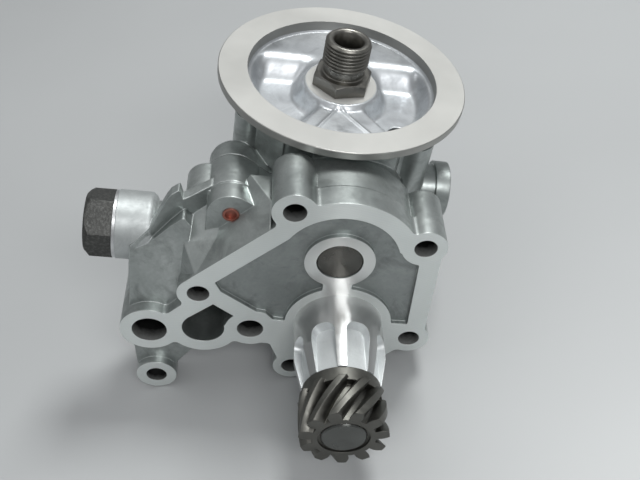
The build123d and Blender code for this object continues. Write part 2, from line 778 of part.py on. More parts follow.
def idler_shaft_solid():
    shaft = bar_y(*idler, idler_shaft / 2, 0.2, plate_front + rear_bush_length - 1)
    return chamfer(shaft.edges().filter_by(GeomType.CIRCLE), 0.5)


def skew_drive_gear():
    """Helical gear: a twisted tooth outline, its ends turned off, and a plain shoulder."""
    pitch = skew_module / cos(radians(skew_helix)) * skew_teeth / 2
    base = pitch * cos(radians(20))
    root = pitch - 1.25 * skew_module
    tip = pitch + skew_module
    outline = gear_face(skew_teeth, pitch, base, root, tip, -skew_fullness)
    twist = skew_face * tan(radians(skew_helix)) / pitch * 180 / pi
    face = face_plane(skew_teeth_back) * outline
    teeth = Solid.extrude_linear_with_rotation(face.face(), Vector(0, skew_teeth_back, 0),
                                               Vector(0, -skew_face, 0), twist)
    blank = bar_y(0, 0, tip, skew_front, skew_teeth_back)
    blank = chamfer(blank.edges().filter_by(GeomType.CIRCLE), tooth_end_chamfer)
    gear = (blank & teeth) + bar_y(0, 0, skew_shoulder / 2, skew_teeth_back - 1, skew_back)
    gear -= bar_y(0, 0, drive_shaft / 2, skew_front - 1, skew_back + 1)
    mouth = drive_shaft / 2 + skew_bore_chamfer
    gear -= slab(Circle(mouth), skew_front - 1, skew_front + skew_bore_chamfer)
    return gear - key_box(0, skew_front + key_end_gap, skew_back + 1)


def snout_bush():
    bush = bar_y(0, 0, drive_shaft / 2 + bush_wall, -snout_length, -snout_length + snout_bush_length)
    return bush - bar_y(0, 0, drive_shaft / 2 + shaft_clearance, -snout_length - 1, 1)


def rear_shaft_bush():
    bush = bar_y(0, 0, drive_shaft / 2 + bush_wall, plate_front, plate_front + rear_bush_length)
    return bush - bar_y(0, 0, drive_shaft / 2 + shaft_clearance, plate_front - 1, plate_front + 30)


# --- relief valve ---------------------------------------------------------------------------

def relief_valve_cap():
    seat = relief_tube_end - cap_washer
    plane = Plane(origin=(seat - cap_head, 0, 0), x_dir=(0, 1, 0), z_dir=(1, 0, 0))
    hexagon = Pos(relief_y, relief_z) * Rot(0, 0, -22) * RegularPolygon(cap_hex / 2, 6, major_radius=False)
    head = extrude(plane * hexagon, amount=cap_head)
    corner = cap_hex / sqrt(3)
    blank = bar_x(relief_y, relief_z, corner, seat - cap_head, seat)
    rim = blank.edges().filter_by(GeomType.CIRCLE).sort_by(Axis.X)[0]
    head &= chamfer(rim, 2.2)
    stem = bar_x(relief_y, relief_z, relief_thread / 2, seat, relief_cap_inside)
    stem -= bar_x(relief_y, relief_z, relief_bore / 2, seat + 2, relief_cap_inside + 1)
    return head + stem


def relief_cap_washer():
    washer = bar_x(relief_y, relief_z, relief_tube / 2 - 0.3, relief_tube_end - cap_washer, relief_tube_end)
    return washer - bar_x(relief_y, relief_z, relief_thread / 2, relief_tube_end - 5, relief_tube_end + 5)


def relief_shim():
    inside = relief_tube_end - cap_washer + 2
    shim = bar_x(relief_y, relief_z, spring_mean / 2 + 1.8, inside, inside + shim_thickness)
    return shim - bar_x(relief_y, relief_z, spring_mean / 2 - 3, inside - 1, inside + 5)


def relief_piston():
    crown = relief_seat_x
    radius = relief_bore / 2 - piston_clearance
    piston = bar_x(relief_y, relief_z, radius, crown - piston_length, crown - 0.05)
    return piston - bar_x(relief_y, relief_z, radius - piston_wall, crown - piston_length - 1, crown - 4)


def relief_spring():
    left = relief_tube_end - cap_washer + 2 + shim_thickness + spring_wire / 2 + 0.1
    right = relief_seat_x - 4 - spring_wire / 2 - 0.1
    length = right - left
    coil = Helix(pitch=length / spring_turns, height=length, radius=spring_mean / 2,
                 center=(left, relief_y, relief_z), direction=(1, 0, 0))
    start = Plane(origin=coil @ 0, z_dir=coil % 0)
    return sweep(start * RegularPolygon(spring_wire / 2, 8), path=coil, is_frenet=True)


# --- plugs and stud ------------------------------------------------------------------------------

def gallery_plug_solid():
    plug = bar_y(gallery_x, gallery_z, gallery_plug / 2, gallery_face - 0.4, gallery_face + plug_length - 1)
    return plug - bar_y(gallery_x, gallery_z, gallery_plug / 2 - 0.9, gallery_face - 1, gallery_face + 1.2)


def filter_stud():
    x, y = filter_x, filter_y
    stud = bar_z(x, y, stud_thread / 2, boss_top - stud_shank, boss_top)
    hexagon = Pos(x, y) * RegularPolygon(stud_hex / 2, 6, major_radius=False, rotation=30)
    head = extrude(Plane.XY.offset(boss_top) * hexagon, amount=stud_hex_top - boss_top)
    blank = bar_z(x, y, stud_hex / sqrt(3), boss_top, stud_hex_top)
    head &= chamfer(blank.edges().filter_by(GeomType.CIRCLE).sort_by(Axis.Z)[-1], 1.2)
    stud += head
    stud += bar_z(x, y, stud_neck / 2, stud_hex_top - 1, stud_thread_start + 1)
    thread = bar_z(x, y, stud_thread / 2, stud_thread_start, stud_top)
    stud += chamfer(thread.edges().filter_by(GeomType.CIRCLE), 1.2)
    stud -= bar_z(x, y, stud_bore / 2, boss_top - stud_shank - 1, stud_top + 1)
    return stud


parts = {
    "pump_body": pump_body,
    "filter_head": filter_head,
    "head_gasket": head_gasket,
    "head_bolts": lambda: group([head_bolt(centre) for centre in bolts]),
    "head_dowels": lambda: group([head_dowel(centre) for centre in dowel_bolts]),
    "drive_shaft": drive_shaft_solid,
    "skew_drive_gear": skew_drive_gear,
    "skew_gear_key": skew_gear_key,
    "pump_drive_gear": pump_drive_gear,
    "pump_gear_key": pump_gear_key,
    "pump_driven_gear": pump_driven_gear,
    "driven_gear_bush": driven_gear_bush,
    "idler_shaft": idler_shaft_solid,
    "snout_bush": snout_bush,
    "rear_shaft_bush": rear_shaft_bush,
    "relief_valve_cap": relief_valve_cap,
    "relief_cap_washer": relief_cap_washer,
    "relief_shim": relief_shim,
    "relief_spring": relief_spring,
    "relief_piston": relief_piston,
    "gallery_plug": gallery_plug_solid,
    "filter_stud": filter_stud,
}

os.makedirs("parts", exist_ok=True)
for name, make in parts.items():
    export_step(make(), f"parts/{name}.step")
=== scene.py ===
import bmesh
import bpy
import numpy as np
from math import cos, pi, radians, sin, sqrt, tan
from mathutils import Matrix, Vector


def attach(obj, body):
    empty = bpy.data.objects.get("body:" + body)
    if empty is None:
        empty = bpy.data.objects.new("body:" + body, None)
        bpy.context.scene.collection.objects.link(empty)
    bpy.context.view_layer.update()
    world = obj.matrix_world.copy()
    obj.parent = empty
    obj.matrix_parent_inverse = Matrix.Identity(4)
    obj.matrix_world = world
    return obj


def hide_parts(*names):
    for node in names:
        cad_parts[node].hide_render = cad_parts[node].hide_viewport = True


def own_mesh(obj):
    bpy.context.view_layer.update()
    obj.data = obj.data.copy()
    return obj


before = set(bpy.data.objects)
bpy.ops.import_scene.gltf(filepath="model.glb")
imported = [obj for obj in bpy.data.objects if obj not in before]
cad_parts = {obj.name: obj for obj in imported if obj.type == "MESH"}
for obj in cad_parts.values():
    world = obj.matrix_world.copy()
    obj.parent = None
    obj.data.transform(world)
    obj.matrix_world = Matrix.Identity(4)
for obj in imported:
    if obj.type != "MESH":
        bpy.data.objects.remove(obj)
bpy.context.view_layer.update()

MM = 0.001
FILTER = (-6.35 * MM, 72.6 * MM)        # filter axis in x, y
IDLER = (-4.895 * MM, 37.179 * MM)      # idler axis in x, z

WEAR_AND_HIGHLIGHT_STARTS, WEAR_AND_HIGHLIGHT_FULL = 0.97, 0.80     # dot product of the flat and the rounded normal
WEAR_AND_HIGHLIGHT_SHARE = 0.5                        # of bright metal on a fully worn edge, partly a painted edge highlight

CUTTER_CENTRE = (-0.05, 0, -0.21)       # of the arcs that the face mill left on the land, metres
RING_RADIUS = 0.01385                   # bright ring round the idler
BRIDGE_X = -0.0036                      # bright bridge between ring and pilot
BRIDGE_SIDE = (0.0040, 0.0062)          # it fades between these distances to each side
BRIDGE_TOP = (0.0290, 0.0300)
BRIDGE_FOOT = (0.0100, 0.0160)


# --- node materials ---------------------------------------------------------------

class Shader:
    """A node material with one Principled shader and short helpers."""

    def __init__(self, name):
        self.mat = bpy.data.materials.new(name)
        self.mat.use_nodes = True
        self.nodes = self.mat.node_tree.nodes
        self.links = self.mat.node_tree.links
        self.bsdf = self.nodes["Principled BSDF"]

    def new(self, kind, **values):
        node = self.nodes.new(kind)
        for key, value in values.items():
            setattr(node, key, value)
        return node

    def set(self, **values):
        for key, value in values.items():
            self.bsdf.inputs[key.replace("_", " ")].default_value = value

    def link(self, a, b):
        self.links.new(a, b)

    def position(self, offset=(0, 0, 0)):
        coords = self.new("ShaderNodeTexCoord")
        mapping = self.new("ShaderNodeMapping")
        mapping.inputs["Location"].default_value = offset
        self.link(coords.outputs["Object"], mapping.inputs["Vector"])
        return mapping.outputs["Vector"]

    def axis_position(self, axis):
        """The object coordinate along one axis, in metres."""
        split = self.new("ShaderNodeSeparateXYZ")
        self.link(self.position(), split.inputs[0])
        return split.outputs["XYZ".index(axis)]

    def noise(self, scale, detail=3.0, rough=0.55, distortion=0.0):
        node = self.new("ShaderNodeTexNoise")
        node.inputs["Scale"].default_value = scale
        node.inputs["Detail"].default_value = detail
        node.inputs["Roughness"].default_value = rough
        node.inputs["Distortion"].default_value = distortion
        self.link(self.position(), node.inputs["Vector"])
        return node.outputs["Fac"]

    def voronoi(self, scale):
        node = self.new("ShaderNodeTexVoronoi", feature="F1")
        node.inputs["Scale"].default_value = scale
        self.link(self.position(), node.inputs["Vector"])
        return node.outputs["Distance"]

    def remap(self, value, low, high, to_low, to_high):
        node = self.new("ShaderNodeMapRange")
        node.inputs["From Min"].default_value = low
        node.inputs["From Max"].default_value = high
        node.inputs["To Min"].default_value = to_low
        node.inputs["To Max"].default_value = to_high
        self.link(value, node.inputs["Value"])
        return node.outputs["Result"]

    def math(self, operation, a, b=0.0):
        node = self.new("ShaderNodeMath", operation=operation)
        for socket, value in zip(node.inputs, (a, b)):
            if isinstance(value, (int, float)):
                socket.default_value = value
            else:
                self.link(value, socket)
        return node.outputs[0]

    def mix(self, factor, a, b):
        node = self.new("ShaderNodeMix", data_type="RGBA")
        self.link(factor, node.inputs["Factor"])
        for socket, value in ((node.inputs["A"], a), (node.inputs["B"], b)):
            if isinstance(value, tuple):
                socket.default_value = (*value, 1.0)
            else:
                self.link(value, socket)
        return node.outputs["Result"]

    def radius(self, centre, axis):
        """Distance from an axis through centre."""
        split = self.new("ShaderNodeSeparateXYZ")
        self.link(self.position(offset=tuple(-c for c in centre)), split.inputs[0])
        pair = [out for out, letter in zip(split.outputs, "XYZ") if letter != axis]
        square = self.math("ADD", self.math("MULTIPLY", pair[0], pair[0]),
                           self.math("MULTIPLY", pair[1], pair[1]))
        return self.math("SQRT", square)

    def marks(self, distance, spacing):
        """Sine of a distance: tool marks a spacing apart."""
        return self.math("SINE", self.math("MULTIPLY", distance, 2 * pi / spacing))

    def tangent_outward(self, centre):
        """Tangent across the marks of a faced end: away from its centre."""
        self.link(self.position(offset=tuple(-c for c in centre)), self.bsdf.inputs["Tangent"])

    def tangent_along(self, axis):
        """Tangent across the marks of a turned side: along its axis."""
        vector = self.new("ShaderNodeCombineXYZ")
        vector.inputs["XYZ".index(axis)].default_value = 1.0
        self.link(vector.outputs[0], self.bsdf.inputs["Tangent"])

    def worn_and_highlit_edge(self, radius):
        """Grows to 1 where a rounded normal leaves the flat one: rubbed edges, lightened partly as a painted
        edge highlight.
        """
        bevel = self.new("ShaderNodeBevel", samples=6)
        bevel.inputs["Radius"].default_value = radius
        flat = self.new("ShaderNodeNewGeometry").outputs["Normal"]
        both = self.new("ShaderNodeVectorMath", operation="DOT_PRODUCT")
        self.link(bevel.outputs["Normal"], both.inputs[0])
        self.link(flat, both.inputs[1])
        return self.remap(both.outputs["Value"], WEAR_AND_HIGHLIGHT_STARTS, WEAR_AND_HIGHLIGHT_FULL, 0.0, WEAR_AND_HIGHLIGHT_SHARE)

    def bump(self, heights, edge=0.0):
        """Stacks (height, strength, distance) bumps; edge rounds the mesh's sharp edges."""
        normal = None
        if edge:
            bevel = self.new("ShaderNodeBevel", samples=6)
            bevel.inputs["Radius"].default_value = edge
            normal = bevel.outputs["Normal"]
        for height, strength, distance in heights:
            node = self.new("ShaderNodeBump")
            node.inputs["Strength"].default_value = strength
            node.inputs["Distance"].default_value = distance
            self.link(height, node.inputs["Height"])
            if normal:
                self.link(normal, node.inputs["Normal"])
            normal = node.outputs["Normal"]
        self.link(normal, self.bsdf.inputs["Normal"])


def shade(colour, factor):
    """The colour made darker or lighter."""
    return tuple(min(1, factor * c) for c in colour)


def cast_aluminium(name, light, dark, roughness, edge, metallic=0.92, mottle=0.12):
    s = Shader(name)
    s.set(Metallic=metallic)
    cloud = s.noise(38, 4, 0.6)
    grain = s.noise(600, 2, 0.6)
    pores = s.voronoi(260)
    base = s.mix(s.remap(cloud, 0.35, 0.7, 0, 1), dark, light)
    stain = s.noise(75, 6, 0.68, distortion=0.6)
    base = s.mix(s.remap(stain, 0.5, 0.68, 0.0, 2.4 * mottle), base, shade(dark, 0.55))
    base = s.mix(s.remap(grain, 0.3, 0.7, 0.0, mottle), base, shade(dark, 0.72))
    # edges made lighter in colour: rubbed metal and partly a painted edge highlight
    base = s.mix(s.worn_and_highlit_edge(edge), base, shade(light, 1.45))
    s.link(base, s.bsdf.inputs["Base Color"])
    s.link(s.math("ADD", s.remap(stain, 0.35, 0.65, roughness - 0.08, roughness + 0.09),
                  s.remap(grain, 0.3, 0.7, -0.03, 0.04)), s.bsdf.inputs["Roughness"])
    s.bump([(s.noise(110, 2, 0.5), 0.3, 0.0005), (grain, 0.12, 0.00005), (pores, 0.05, 0.0001)], edge)
    return s.mat


def milled_face(name, colour, dark):
    """Faced land, pale and satin; the idler's ring and its bridge are turned bright."""
    s = Shader(name)
    s.set(Anisotropic=0.75)
    centre = (IDLER[0], 0, IDLER[1])
    arcs = s.marks(s.radius(CUTTER_CENTRE, "Y"), 0.0011)
    ring = s.remap(s.radius(centre, "Y"), RING_RADIUS, RING_RADIUS + 0.0001, 1, 0)
    beside = s.math("ABSOLUTE", s.math("ADD", s.axis_position("X"), -BRIDGE_X))
    height = s.axis_position("Z")
    bridge = s.math("MULTIPLY", s.remap(beside, *BRIDGE_SIDE, 1, 0), s.remap(height, *BRIDGE_TOP, 1, 0))
    bridge = s.math("MULTIPLY", bridge, s.remap(height, *BRIDGE_FOOT, 0, 1))
    bright = s.math("MAXIMUM", ring, bridge)
    cloud = s.noise(26, 3, 0.5)
    fine = s.noise(500, 2, 0.5)
    base = s.mix(s.remap(cloud, 0.3, 0.7, 0, 1), colour, dark)
    base = s.mix(s.remap(arcs, -1, 1, 0, 0.08), base, shade(dark, 0.8))
    s.link(s.mix(bright, base, (0.80, 0.81, 0.80)), s.bsdf.inputs["Base Color"])
    s.link(s.math("ADD", s.remap(bright, 0, 1, 0.46, 0.30), s.remap(fine, 0.3, 0.7, -0.02, 0.03)),
           s.bsdf.inputs["Roughness"])
    s.link(s.remap(bright, 0, 1, 0.75, 0.95), s.bsdf.inputs["Metallic"])
    s.tangent_outward(centre)
    s.bump([(cloud, 0.05, 0.0002)], 0.0003)
    return s.mat


def turned(name, colour, centre, axis, spacing, roughness, metallic, anisotropy, edge=0.0003):
    """Faced end: fine rings about its centre."""
    s = Shader(name)
    s.set(Metallic=metallic, Anisotropic=anisotropy)
    marks = s.marks(s.radius(centre, axis), spacing)
    wide = s.noise(160, 3, 0.5)
    cloud = s.noise(30, 3, 0.5)
    base = s.mix(s.remap(cloud, 0.3, 0.7, 0, 1), colour, shade(colour, 0.8))
    base = s.mix(s.remap(marks, -1, 1, 0.0, 0.06), base, shade(colour, 0.7))
    s.link(base, s.bsdf.inputs["Base Color"])
    s.link(s.remap(wide, 0.3, 0.7, roughness - 0.04, roughness + 0.06), s.bsdf.inputs["Roughness"])
    s.tangent_outward(centre)
    s.bump([(wide, 0.04, 0.0001)], edge)
    return s.mat


def turned_along(name, colour, axis, spacing, roughness, metallic, anisotropy, edge=0.0004):
    """Turned outside of a shaft or snout: fine rings spaced along the axis."""
    s = Shader(name)
    s.set(Metallic=metallic, Anisotropic=anisotropy)
    marks = s.marks(s.axis_position(axis), spacing)
    cloud = s.noise(45, 3, 0.5)
    fine = s.noise(300, 2, 0.5)
    base = s.mix(s.remap(cloud, 0.3, 0.7, 0, 1), colour, shade(colour, 0.82))
    base = s.mix(s.remap(marks, -1, 1, 0.0, 0.08), base, shade(colour, 0.7))
    s.link(base, s.bsdf.inputs["Base Color"])
    s.link(s.remap(fine, 0.3, 0.7, roughness - 0.04, roughness + 0.05), s.bsdf.inputs["Roughness"])
    s.tangent_along(axis)
    s.bump([(cloud, 0.012, 0.0002)], edge)
    return s.mat


def dark_steel(name, colour, roughness, grain_scale, grain_depth, metallic=1.0, edge=0.0004, mottle=0.25):
    s = Shader(name)
    s.set(Metallic=metallic)
    cloud = s.noise(90, 3, 0.5)
    grain = s.noise(grain_scale, 2, 0.6)
    base = s.mix(s.remap(cloud, 0.3, 0.72, 0, 1), colour, shade(colour, 0.75))
    base = s.mix(s.remap(grain, 0.45, 0.75, 0.0, mottle), base, shade(colour, 1.9))
    s.link(base, s.bsdf.inputs["Base Color"])
    s.link(s.remap(grain, 0.3, 0.7, roughness - 0.06, roughness + 0.08), s.bsdf.inputs["Roughness"])
    s.bump([(grain, 0.5, grain_depth), (cloud, 0.1, 0.0002)], edge)
    return s.mat


def drilled_bore(name, mouth, deep_shade):
    """Drilled hole: plain metal at its mouth, with painted shade darkening it further in."""
    s = Shader(name)
    s.set(Metallic=0.8)
    fine = s.noise(400, 2, 0.5)
    # the colour darkens with depth into the hole: painted shade
    depth = s.math("ADD", s.axis_position("Y"), s.remap(fine, 0.3, 0.7, -0.0006, 0.0006))
    s.link(s.mix(s.remap(depth, 0.001, 0.006, 0, 1), mouth, deep_shade), s.bsdf.inputs["Base Color"])
    s.link(s.remap(fine, 0.3, 0.7, 0.33, 0.45), s.bsdf.inputs["Roughness"])
    s.bump([(fine, 0.1, 0.00005)], 0.0003)
    return s.mat


def plain_metal(name, colour, roughness, metallic=1.0):
    s = Shader(name)
    s.set(Metallic=metallic)
    cloud = s.noise(160, 3, 0.55)
    fine = s.noise(1400, 2, 0.5)
    base = s.mix(s.remap(cloud, 0.3, 0.7, 0, 1), colour, shade(colour, 0.8))
    s.link(base, s.bsdf.inputs["Base Color"])
    s.link(s.remap(fine, 0.3, 0.7, roughness - 0.05, roughness + 0.08), s.bsdf.inputs["Roughness"])
    s.bump([(fine, 0.1, 0.00004), (cloud, 0.1, 0.0002)], 0.0002)
    return s.mat


body_cast = cast_aluminium("cast_body", (0.54, 0.57, 0.56), (0.35, 0.378, 0.37), 0.39, 0.0008, 0.9, 0.24)
pocket_cast = cast_aluminium("cast_pocket_floor", (0.41, 0.435, 0.43), (0.30, 0.325, 0.32),
                             0.46, 0.0006, 0.85, 0.2)
bowl_cast = cast_aluminium("cast_bowl", (0.70, 0.72, 0.74), (0.46, 0.48, 0.50), 0.37, 0.0007, 0.85, 0.2)
snout_cast = cast_aluminium("cast_snout", (0.74, 0.765, 0.77), (0.66, 0.685, 0.69), 0.40, 0.0003, 0.55)
tube_cast = cast_aluminium("cast_tube", (0.58, 0.605, 0.605), (0.47, 0.495, 0.495), 0.50, 0.0006, 0.75, 0.16)
land = milled_face("milled_land", (0.90, 0.94, 0.925), (0.81, 0.85, 0.835))
pad = turned("turned_pad", (0.53, 0.527, 0.505), (*FILTER, 0), "Z", 0.0006, 0.55, 0.1, 0.2)
shaft_end = turned("turned_shaft_end", (0.16, 0.165, 0.158), (0, 0, 0), "Y", 0.0004, 0.3, 1.0, 0.8)
idler_end = turned("turned_idler_end", (0.115, 0.112, 0.104), (IDLER[0], 0, IDLER[1]), "Y",
                   0.0004, 0.24, 1.0, 0.85)
rim = turned_along("turned_rim", (0.40, 0.40, 0.385), "Z", 0.0005, 0.38, 0.9, 0.4)
snout_turned = turned_along("turned_snout", (0.66, 0.665, 0.66), "Y", 0.0009, 0.33, 1.0, 0.88, edge=0.0001)
# the drilled holes darken inwards with painted shade
bore_painted_shade = drilled_bore("drilled_bore", (0.66, 0.67, 0.66), (0.04, 0.041, 0.04))
ground = plain_metal("ground_steel", (0.45, 0.44, 0.43), 0.28)
gear_steel = dark_steel("gear_steel", (0.155, 0.153, 0.140), 0.43, 420, 0.00001, mottle=0.08, edge=0.0005)
stud_steel = dark_steel("stud_steel", (0.225, 0.218, 0.20), 0.36, 500, 0.00001, mottle=0.12)
cap_steel = dark_steel("cap_steel", (0.080, 0.081, 0.078), 0.5, 900, 0.0003, 0.8, 0.0008, 0.9)
washer_metal = plain_metal("soft_washer", (0.74, 0.75, 0.76), 0.36)
copper = plain_metal("coated_plug", (0.42, 0.165, 0.125), 0.36, 0.7)
bronze = plain_metal("bronze", (0.55, 0.40, 0.22), 0.32)
gasket = plain_metal("gasket_sheet", (0.10, 0.10, 0.11), 0.6, 0.0)
plated = plain_metal("plated_steel", (0.60, 0.60, 0.60), 0.3)


# --- finishes on the CAD pieces -------------------------------------------------------

def paint(node, materials, choose):
    """Gives each face of a CAD piece one of the materials; choose sees millimetres."""
    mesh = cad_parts[node].data
    mesh.materials.clear()
    for material in materials:
        mesh.materials.append(material)
    for face in mesh.polygons:
        c = face.center
        face.material_index = choose(c.x / MM, c.y / MM, c.z / MM, face.normal)


# Order of the materials on the two castings, and faces as the CAD has them, millimetres.
BODY_CAST, BODY_LAND, BODY_POCKET, BODY_TUBE, BODY_TURNED, BODY_SNOUT, BODY_BORE = range(7)
HEAD_CAST, HEAD_PAD, HEAD_RIM, HEAD_BOWL = range(4)
RELIEF_AXIS = (22.8, 26.2)              # y, z
TUBE_RADII = (9.0, 14.2)
TUBE_START = -76.5                      # left of it the relief tube stands free
PILOT_RADII = (15.2, 18.6)
SHAFT_SIDE = 13.5                       # everything in front and outside of this is the snout
FOOT_FACE = 3.0
PAD_TOP = 74.9
PAD_INSIDE = 39.0
RIM_OUTSIDE = 51.5
BOSS_RADIUS = 15.0                      # flat top round the stud
BOSS_TOP = 70.3
DRILLED_HOLES = (                       # x, z, radius
    (-25.4, 61.4, 4.5), (26.7, 48.4, 4.5), (31.6, -6.0, 4.5), (-58.5, 13.0, 4.5),
    (-36.0, -6.8, 5.5), (-15.8, -30.3, 4.5), (-74.5, -46.9, 4.5), (-77.6, -11.8, 7.25))


def body_finish(x, y, z, n):
    """Material of a face of the body: x, y, z is its centre and n its normal."""
    r = sqrt(x * x + z * z)
    tube = sqrt((y - RELIEF_AXIS[0]) ** 2 + (z - RELIEF_AXIS[1]) ** 2)
    faces_front = n.y < -0.95
    if abs(y) < 0.05 and faces_front:
        return BODY_LAND
    if 0 < y < 2.3 and faces_front:
        return BODY_POCKET
    if y < -0.05 and PILOT_RADII[0] < r < PILOT_RADII[1] and abs(n.x * x + n.z * z) > 0.93 * r:
        return BODY_TURNED
    if y < -0.05 and r > SHAFT_SIDE:
        return BODY_SNOUT
    if -0.2 < y < 31 and abs(n.y) < 0.2:
        for hole_x, hole_z, hole_radius in DRILLED_HOLES:
            if sqrt((x - hole_x) ** 2 + (z - hole_z) ** 2) < hole_radius + 0.1:
                return BODY_BORE
    if abs(y - FOOT_FACE) < 0.1 and faces_front and z < -35:
        return BODY_LAND
    if x < TUBE_START and TUBE_RADII[0] < tube < TUBE_RADII[1]:
        return BODY_TUBE
    return BODY_CAST


def head_finish(x, y, z, n):
    """Material of a face of the filter head."""
    r = sqrt((x - FILTER[0] / MM) ** 2 + (y - FILTER[1] / MM) ** 2)
    faces_up = n.z > 0.9
    if z > PAD_TOP and faces_up and r > PAD_INSIDE:
        return HEAD_PAD
    if z > 70.9 and r > RIM_OUTSIDE:
        return HEAD_RIM
    if z > 70.1 and 39.3 < r < 40.5:
        return HEAD_RIM
    if abs(z - BOSS_TOP) < 0.05 and faces_up and r < BOSS_RADIUS + 1:
        return HEAD_PAD
    if z > 61 and r < 40:
        return HEAD_BOWL
    return HEAD_CAST


def end_finish(x, y, z, n):
    """A shaft's end that faces the front has its own material."""
    return 1 if n.y < -0.3 else 0


def one_finish(x, y, z, n):
    return 0


paint("pump_body", [body_cast, land, pocket_cast, tube_cast, snout_turned, snout_cast, bore_painted_shade],
      body_finish)
paint("filter_head", [body_cast, pad, rim, bowl_cast], head_finish)
paint("drive_shaft", [ground, shaft_end], end_finish)
paint("idler_shaft", [ground, idler_end], end_finish)
for material, names in (
        (gasket, ("head_gasket",)),
        (plated, ("head_bolts",)),
        (ground, ("head_dowels", "skew_gear_key", "pump_drive_gear", "pump_gear_key", "pump_driven_gear",
                  "relief_shim", "relief_spring", "relief_piston")),
        (gear_steel, ("skew_drive_gear",)),
        (bronze, ("driven_gear_bush", "snout_bush", "rear_shaft_bush")),
        (cap_steel, ("relief_valve_cap",)),
        (washer_metal, ("relief_cap_washer",)),
        (copper, ("gallery_plug",))):
    for name in names:
        paint(name, [material], one_finish)


# --- filter head with the soft casting of its bowl ------------------------------------------

# Millimetres about the filter's axis.
BOWL_RADIUS = 38.6
BOWL_FLOOR = 70.0
FRONT_FLOOR = 68.3                      # of the raised plateau in front of the boss
FRONT_HALF_ANGLE = radians(38)
POCKET_DEPTH = 8.0
POCKET_RIMS = (16.5, 37.4)              # inner and outer radius of both side pockets
POCKET_DRAFT = 1 / tan(radians(16))
POCKET_SIDES = ((118, 236), (-56, 62))  # start and end of each pocket, degrees
RAMP_START = 8.4                        # the pockets rise towards the back from this y
DRILL = (24.35, -20.6, 4.5)             # delivery drill in the right pocket: x, y, radius
DRILL_FOOT = 61.0                       # the lining's lip reaches down into the drill to here
RIB_APEX = (-1.65, -15.1)
RIB_FEET = ((-10.85, -30.1), (10.75, -31.1))
RIB_HEIGHT = 0.55
RIB_HALF_WIDTH = 0.6
EDGE_BLEND = 2.6                        # the soft form fades into boss and wall over this
BLUR_FRONT, BLUR_BACK = 2.2, 3.6        # radius that the recess is softened by
LINING_TURNS = 360
LINING_RINGS = 50


def inside_pocket(r, turn, start, end):
    """Distance inside a pocket's rim, negative outside."""
    middle = (start + end) / 2
    half = radians((end - start) / 2)
    off = np.abs((turn - radians(middle) + pi) % (2 * pi) - pi)
    side = r * np.sin(np.clip(half - off, -pi / 2, pi / 2))
    return np.minimum(np.minimum(r - POCKET_RIMS[0], POCKET_RIMS[1] - r), side)


def raw_height(x, y):
    """The recess as the CAD has it, before its edges are softened."""
    r = np.hypot(x, y)
    turn = np.arctan2(y, x)
    front = np.abs((turn + pi / 2 + pi) % (2 * pi) - pi) < FRONT_HALF_ANGLE
    height = np.where(front, FRONT_FLOOR, BOWL_FLOOR)
    depth = np.zeros_like(r)
    for start, end in POCKET_SIDES:
        rim = inside_pocket(r, turn, start, end)
        depth = np.maximum(depth, np.clip(rim * POCKET_DRAFT, 0, POCKET_DEPTH))
    ramp = np.clip(y - RAMP_START, 0, POCKET_DEPTH)
    height = height - np.maximum(0, depth - ramp) * (depth > 0)
    height = np.where(r < BOSS_RADIUS + 0.6, BOSS_TOP, height)
    return np.where(r > BOWL_RADIUS, BOWL_FLOOR, height)


def blurred(x, y, reach):
    """Mean of the raw height over a disc of points."""
    total = raw_height(x, y)
    count = 1
    for ring in (0.35, 0.7, 1.0):
        for i in range(12):
            a = 2 * pi * (i + ring) / 12
            total = total + raw_height(x + reach * ring * cos(a), y + reach * ring * sin(a))
            count += 1
    return total / count


def near_line(x, y, a, b):
    """Distance from the line a to b."""
    dx, dy = b[0] - a[0], b[1] - a[1]
    t = np.clip(((x - a[0]) * dx + (y - a[1]) * dy) / (dx * dx + dy * dy), 0, 1)
    return np.hypot(x - a[0] - t * dx, y - a[1] - t * dy)


def bowl_height(x, y):
    """Height of the soft cast surface between the boss and the bowl's wall."""
    r = np.hypot(x, y)
    edge = np.clip(np.minimum(r - BOSS_RADIUS, BOWL_RADIUS - r) / EDGE_BLEND, 0, 1)
    edge = edge * edge * (3 - 2 * edge)
    back = np.clip((y - 2) / 10, 0, 1)
    soft = blurred(x, y, BLUR_FRONT) * (1 - back) + blurred(x, y, BLUR_BACK) * back
    rim = np.where(r < (BOSS_RADIUS + BOWL_RADIUS) / 2, BOSS_TOP, BOWL_FLOOR)
    height = rim * (1 - edge) + soft * edge
    for foot in RIB_FEET:
        across = near_line(x, y, RIB_APEX, foot) / RIB_HALF_WIDTH
        height = height + RIB_HEIGHT * np.exp(-across ** 2) * edge
    return height


def bowl_lining():
    """Grid of rings from the boss to the wall, with the delivery drill cut out."""
    turns = LINING_TURNS
    grid = np.linspace(BOSS_RADIUS, BOWL_RADIUS, LINING_RINGS)
    radii = np.concatenate(([BOSS_RADIUS - 0.2], grid, [BOWL_RADIUS + 0.3]))
    angle = np.arange(turns) * 2 * pi / turns
    r, a = np.meshgrid(radii, angle, indexing="ij")
    x, y = r * np.cos(a), r * np.sin(a)
    far = np.hypot(x - DRILL[0], y - DRILL[1])
    snap = np.abs(far - DRILL[2]) < 0.42
    x = np.where(snap, DRILL[0] + (x - DRILL[0]) * DRILL[2] / far, x)
    y = np.where(snap, DRILL[1] + (y - DRILL[1]) * DRILL[2] / far, y)
    z = bowl_height(x, y)
    z[0] = BOSS_TOP - 0.1
    z[-1] = BOWL_FLOOR + 0.1
    verts = np.stack([x, y, z], axis=-1).reshape(-1, 3)
    faces = []
    for i in range(len(radii) - 1):
        for j in range(turns):
            k = (j + 1) % turns
            quad = (i * turns + j, (i + 1) * turns + j, (i + 1) * turns + k, i * turns + k)
            centre = verts[list(quad)].mean(axis=0)
            if np.hypot(centre[0] - DRILL[0], centre[1] - DRILL[1]) > DRILL[2] - 0.1:
                faces.append(quad)
    return verts, faces


